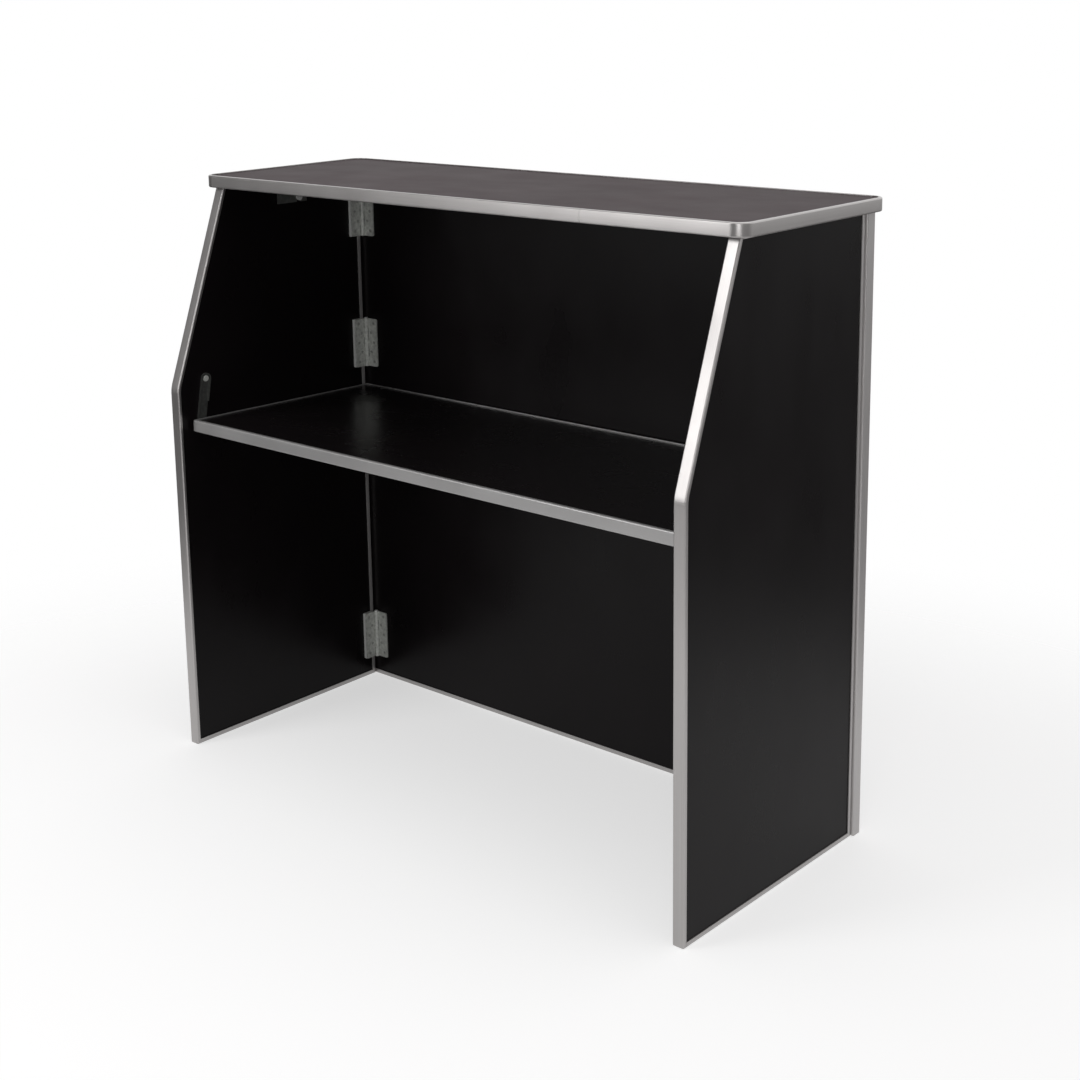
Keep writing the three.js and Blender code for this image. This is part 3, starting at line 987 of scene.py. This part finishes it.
class StageWiring(Wiring):
    """Nodes of the floor or the backdrop, which the camera sees as white."""

    def __init__(self, tree: bpy.types.NodeTree) -> None:
        """Empties a tree and reads what kind of ray arrives.

        Args:
            tree: the tree of the floor's material or of the world.
        """
        super().__init__(tree)
        tree.nodes.clear()
        self.ray = self.node("ShaderNodeLightPath").outputs

    def shown(self, share: Socket | float) -> Socket:
        """How much of the white a ray sees: all from the camera, a share from metal or glass."""
        mirrored = self.maths(Step.MAXIMUM, self.ray["Is Glossy Ray"], self.ray["Is Transmission Ray"])
        return self.maths(Step.MAXIMUM, self.ray["Is Camera Ray"], self.maths(Step.MULTIPLY, mirrored, share))

    def follow(self, lean: Lean) -> Socket:
        """Follows how far a ray of the world leans towards a direction.

        Args:
            lean: the direction and the values.

        Returns:
            The value.
        """
        way = self.node("ShaderNodeTexCoord").outputs["Generated"]
        along = self.node("ShaderNodeVectorMath", {0: way, 1: lean.towards}, operation="DOT_PRODUCT")
        return self.ramp(along.outputs["Value"], lean.shares, lean.values, Ease.SOFT)

    def close(self, output: str, share: Socket, first: bpy.types.Node, second: bpy.types.Node) -> None:
        """Mixes two shaders into the tree's output, by the share of the second one."""
        mix = self.node("ShaderNodeMixShader", {0: share, 1: first.outputs[0], 2: second.outputs[0]})
        self.node(output, {"Surface": mix.outputs[0]})


@dataclass
class Studio:
    """Pale floor, white backdrop, soft boxes and the camera.

    The camera's turn is in degrees: round the bar, down and roll. Its lens and sensor are in millimetres.
    """

    floor_radius: float = 3.6
    floor_corners: int = 96
    floor_drop: float = 0.5 * MM
    floor_colour: Colour = (0.60, 0.60, 0.60)
    floor_lift: float = 0.58
    floor_mirrored: float = 0.65
    floor_middle: Place = (0.45, -0.70, 0.0)
    floor_fade: Span = (1.35, 2.4)
    room_tint: Colour = (1.0, 0.985, 0.985)
    room_glow: Lean = Lean((0.50, 0.80, 0.20), shares=(-0.75, 0.35), values=(0.10, 0.45))
    room_horizon: Lean = Lean((0.0, 0.0, 1.0), shares=(-0.20, 0.10), values=(0.35, 1.0))
    backdrop_strength: float = 1.0
    backdrop_behind: Lean = Lean((0.0, 1.0, 0.0), shares=(0.0, 0.45))
    backdrop_above: Lean = Lean((0.0, 0.0, 1.0), shares=(-0.16, -0.02))
    lamps: tuple[Lamp, ...] = (
        Lamp("front_soft_box", place=(-1.9, -3.6, 2.15), target=(0.0, 0.0, 0.9),
             width=1.7, height=3.6, power=59.0),
        Lamp("top_soft_box", place=(0.4, -0.2, 3.4), target=(0.1, 0.0, 0.6),
             width=3.0, height=2.4, power=24.0),
        Lamp("right_soft_box", place=(2.3, -3.2, 1.35), target=(-0.3, 0.1, 0.8),
             width=1.4, height=1.4, power=24.0),
    )
    camera_place: Place = (2.06267, -2.25556, 1.44401)
    camera_turn: tuple[float, float, float] = (41.86786, 12.07278, -0.97095)
    camera_lens: float = 59.111
    camera_sensor: float = 36.0
    camera_shift: Span = (0.02243, -0.16182)
    camera_range: float = 50.0

    def build(self) -> None:
        """Sets the whole studio up."""
        self.build_floor()
        self.build_world()
        for lamp in self.lamps:
            lamp.hang()
        self.build_camera()
        bpy.context.scene.view_settings.view_transform = "Standard"

    def build_floor(self) -> None:
        """Lays a round pale floor that fades into the backdrop."""
        mesh = bpy.data.meshes.new("floor")
        shape = bmesh.new()
        bmesh.ops.create_circle(
            shape, cap_ends=True, segments=self.floor_corners, radius=self.floor_radius,
            matrix=Matrix.Translation((0.0, 0.0, -self.floor_drop)))
        shape.to_mesh(mesh)
        shape.free()
        mesh.materials.append(self.floor_material())
        floor = set_out("floor", mesh)

    def floor_material(self) -> bpy.types.Material:
        """Matt floor paper, shown near white to the camera, keeping the shadow and clear from below.

        Returns:
            The floor's material.
        """
        material = bpy.data.materials.new("floor_paper")
        material.use_nodes = True
        wiring = StageWiring(material.node_tree)
        paper = wiring.node("ShaderNodeBsdfDiffuse", {"Color": (*self.floor_colour, 1.0)})
        strength = wiring.maths(Step.MULTIPLY, wiring.shown(self.floor_mirrored), self.floor_lift)
        lift = wiring.node("ShaderNodeEmission", {"Strength": strength})
        lit = wiring.node("ShaderNodeAddShader", {0: paper.outputs[0], 1: lift.outputs[0]})
        where = wiring.node("ShaderNodeTexCoord").outputs["Object"]
        reach = wiring.node("ShaderNodeVectorMath", {0: where, 1: self.floor_middle}, operation="DISTANCE")
        fade = wiring.ramp(reach.outputs["Value"], self.floor_fade, (0.0, 1.0), Ease.SOFT)
        below = wiring.node("ShaderNodeNewGeometry").outputs["Backfacing"]
        clear = wiring.node("ShaderNodeBsdfTransparent")
        wiring.close("ShaderNodeOutputMaterial", wiring.maths(Step.MAXIMUM, fade, below), lit, clear)
        return material

    def build_world(self) -> None:
        """Hangs a white backdrop in a room that darkens towards the front left and below the horizon."""
        world = bpy.data.worlds.new("studio")
        world.use_nodes = True
        bpy.context.scene.world = world
        wiring = StageWiring(world.node_tree)
        glow = wiring.maths(
            Step.MULTIPLY, wiring.follow(self.room_glow), wiring.follow(self.room_horizon))
        room = wiring.node("ShaderNodeBackground", {"Color": (*self.room_tint, 1.0), "Strength": glow})
        white = wiring.node("ShaderNodeBackground", {
            "Color": (*WHITE, 1.0), "Strength": self.backdrop_strength})
        behind = wiring.maths(
            Step.MULTIPLY, wiring.follow(self.backdrop_behind), wiring.follow(self.backdrop_above))
        wiring.close("ShaderNodeOutputWorld", wiring.shown(behind), room, white)

    def build_camera(self) -> None:
        """Sets the camera where the photograph was taken from."""
        around, down, roll = (math.radians(angle) for angle in self.camera_turn)
        ahead = Vector((-math.sin(around) * math.cos(down), math.cos(around) * math.cos(down),
                        -math.sin(down)))
        level = Vector((math.cos(around), math.sin(around), 0.0))
        upright = level.cross(ahead)
        right = level * math.cos(roll) + upright * math.sin(roll)
        up = upright * math.cos(roll) - level * math.sin(roll)
        data = bpy.data.cameras.new("camera")
        data.sensor_width = self.camera_sensor
        data.lens = self.camera_lens
        data.shift_x, data.shift_y = self.camera_shift
        data.clip_end = self.camera_range
        camera = set_out("camera", data)
        turn = Matrix((right, up, -ahead)).transposed().to_4x4()
        camera.matrix_world = Matrix.Translation(self.camera_place) @ turn
        bpy.context.scene.camera = camera


def main() -> None:
    """Builds the bar's sub-assemblies in order, then the studio."""
    logging.basicConfig(level=logging.INFO, format="%(name)s: %(message)s")
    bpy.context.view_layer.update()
    bench, finishes, screws = Bench(), Finishes(), ScrewTree()
    FrontPanel(bench, finishes).build(screws)
    LOG.info("front panel finished")
    for side in Side:
        SidePanel(bench, finishes, side).build()
        LOG.info("%s side panel finished", side.value)
    HingeSet(bench, finishes).build(screws)
    LOG.info("corner hinges finished")
    counter = Counter(bench, finishes, "counter_board", "counter_trim",
                      finishes.counter_laminate, finishes.trim)
    counter.build()
    counter.build_cleats(screws)
    LOG.info("counter finished")
    shelf = Shelf(bench, finishes, "shelf_board", "shelf_trim", finishes.shelf_laminate, finishes.shelf_trim)
    shelf.build()
    shelf.build_studs()
    LOG.info("shelf finished")
    Studio().build()
    LOG.info("studio set up")


if __name__ == "__main__":
    main()
